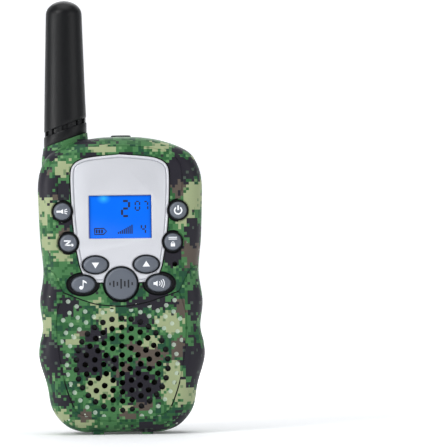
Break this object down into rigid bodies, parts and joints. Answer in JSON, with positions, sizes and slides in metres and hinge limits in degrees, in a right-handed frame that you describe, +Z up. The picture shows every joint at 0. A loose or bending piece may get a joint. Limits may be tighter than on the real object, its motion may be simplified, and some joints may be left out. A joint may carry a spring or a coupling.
{
  "type": "toy walkie talkie",
  "caption": "Child's handheld two-way radio with pixel-camouflage shell, silver display bezel, round keys, speaker grille, stub antenna and belt clip.",
  "frame": {"origin": "on the surface it stands on, under the middle of the overall box", "axes": "+Z up along the antenna, -Y out of the front face, +X to the viewer's right when facing the front"},
  "size_m": [0.0586, 0.0388, 0.1538],
  "materials": {
    "camo": "satin moulded shell with a printed pixel camouflage",
    "silver": "satin silver paint on plastic",
    "button": "satin slate grey",
    "black": "satin black",
    "soft": "fine grained matt black",
    "window": "gloss blue lit window",
    "lcd": "smooth",
    "clear": "clear moulded plastic",
    "rubber": "matt",
    "board": "green solder mask",
    "steel": "plated",
    "brass": "drawn wire",
    "paper": "pressed paper",
    "cell": "printed sleeve"
  },
  "bodies": {
    "case": {"front_shell": "camo", "rear_shell": "camo", "case_screw_1": "steel", "case_screw_2": "steel", "case_screw_3": "steel", "case_screw_4": "steel", "board_screw_1": "steel", "board_screw_2": "steel", "display_bezel": "silver", "display_window": "window", "lcd_panel": "lcd", "lcd_backlight": "clear", "keypad_membrane": "rubber", "main_board": "board", "microphone_boot": "rubber", "microphone": "steel", "speaker_frame": "black", "speaker_cone": "paper", "speaker_magnet": "steel", "antenna_collar": "soft", "antenna_neck": "soft", "torch_bezel": "black", "torch_lens": "clear", "torch_led": "clear", "battery_tray": "black", "cell_1": "cell", "cell_spring_1": "steel", "cell_2": "cell", "cell_spring_2": "steel", "cell_3": "cell", "cell_spring_3": "steel", "cell_4": "cell", "cell_spring_4": "steel", "contact_plate_1": "steel", "contact_plate_2": "steel", "contact_plate_3": "steel", "contact_plate_4": "steel", "contact_plate_5": "steel", "clip_base": "black", "clip_pin": "steel", "clip_spring": "steel"},
    "talk_button": {"talk_button": "button"},
    "call_button": {"call_button": "button"},
    "monitor_button": {"monitor_button": "button"},
    "down_button": {"down_button": "button"},
    "up_button": {"up_button": "button"},
    "lamp_button": {"lamp_button": "button"},
    "power_button": {"power_button": "button"},
    "scan_button": {"scan_button": "button"},
    "menu_button": {"menu_button": "button"},
    "clip": {"clip_lever": "black"},
    "door": {"battery_door": "camo", "door_screw": "steel"},
    "antenna": {"antenna_sheath": "soft", "antenna_coil": "brass"}
  },
  "joints": [
    {"name": "talk_press", "type": "slide", "parent": "case", "child": "talk_button", "axis": [0, 1, 0], "range_m": [0, 0.0008], "stiffness_N_per_m": 1500, "springref_m": -0.0006},
    {"name": "call_press", "type": "slide", "parent": "case", "child": "call_button", "axis": [0, 1, 0], "range_m": [0, 0.0008], "stiffness_N_per_m": 1500, "springref_m": -0.0006},
    {"name": "monitor_press", "type": "slide", "parent": "case", "child": "monitor_button", "axis": [0, 1, 0], "range_m": [0, 0.0008], "stiffness_N_per_m": 1500, "springref_m": -0.0006},
    {"name": "down_press", "type": "slide", "parent": "case", "child": "down_button", "axis": [0, 1, 0], "range_m": [0, 0.0008], "stiffness_N_per_m": 1500, "springref_m": -0.0006},
    {"name": "up_press", "type": "slide", "parent": "case", "child": "up_button", "axis": [0, 1, 0], "range_m": [0, 0.0008], "stiffness_N_per_m": 1500, "springref_m": -0.0006},
    {"name": "lamp_press", "type": "slide", "parent": "case", "child": "lamp_button", "axis": [0, 1, 0], "range_m": [0, 0.0008], "stiffness_N_per_m": 1500, "springref_m": -0.0006},
    {"name": "power_press", "type": "slide", "parent": "case", "child": "power_button", "axis": [0, 1, 0], "range_m": [0, 0.0008], "stiffness_N_per_m": 1500, "springref_m": -0.0006},
    {"name": "scan_press", "type": "slide", "parent": "case", "child": "scan_button", "axis": [0, 1, 0], "range_m": [0, 0.0008], "stiffness_N_per_m": 1500, "springref_m": -0.0006},
    {"name": "menu_press", "type": "slide", "parent": "case", "child": "menu_button", "axis": [0, 1, 0], "range_m": [0, 0.0008], "stiffness_N_per_m": 1500, "springref_m": -0.0006},
    {"name": "clip_hinge", "type": "hinge", "parent": "case", "child": "clip", "pos_m": [0, 0.0157, 0.09], "axis": [1, 0, 0], "range_deg": [0, 18], "stiffness_Nm_per_rad": 0.08, "springref_deg": -20.05},
    {"name": "door_hinge", "type": "hinge", "parent": "case", "child": "door", "pos_m": [0, 0.0116, 0.0104], "axis": [-1, 0, 0], "range_deg": [0, 70]},
    {"name": "antenna_flex", "type": "hinge", "parent": "case", "child": "antenna", "pos_m": [-0.0192, -0.0033, 0.10885], "axis": [0, 1, 0], "range_deg": [-6, 6], "stiffness_Nm_per_rad": 0.35, "deforming": ["antenna_neck"]}
  ]
}
